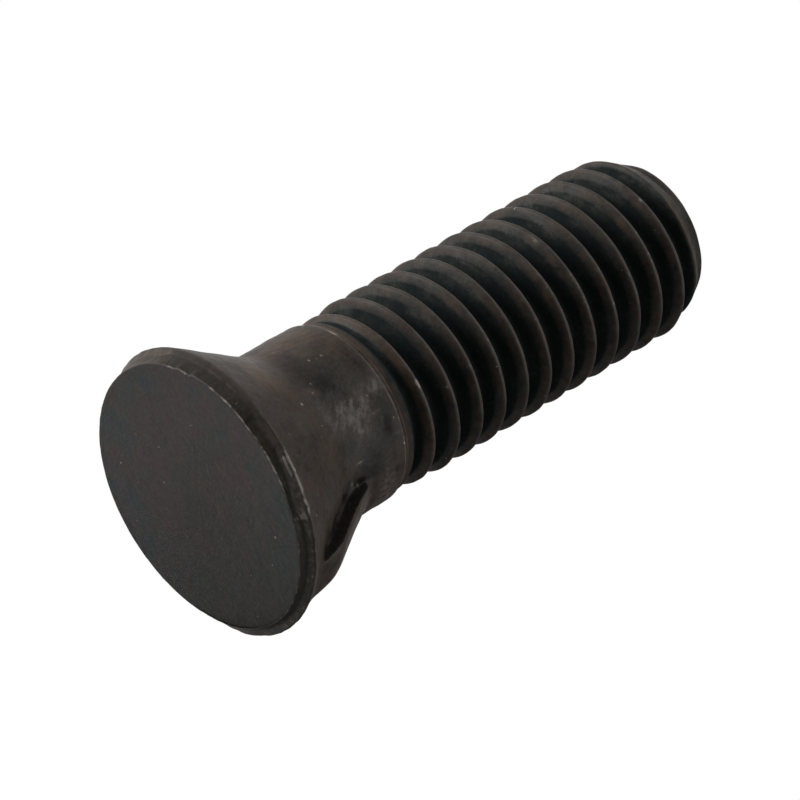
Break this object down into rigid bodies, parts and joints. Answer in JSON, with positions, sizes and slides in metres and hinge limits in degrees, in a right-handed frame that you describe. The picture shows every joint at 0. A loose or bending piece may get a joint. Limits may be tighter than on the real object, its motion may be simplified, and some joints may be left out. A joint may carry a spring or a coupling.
{
  "type": "bolt",
  "caption": "Plough bolt with a flat, round countersunk head, a nib under it that stops it turning, a short plain shank and a coarse right-hand thread.",
  "frame": {"origin": "on the bolt's axis, in the flat of the head that it stands on", "axes": "+Z along the axis from the head to the threaded end, +X from the axis towards the nib"},
  "size_m": [0.017, 0.017, 0.0355],
  "materials": {
    "blackened_steel": "dull black oxide over forged and rolled steel, brown in places and worn bright along its edges"
  },
  "bodies": {
    "root": {"bolt": "blackened_steel"}
  },
  "joints": []
}
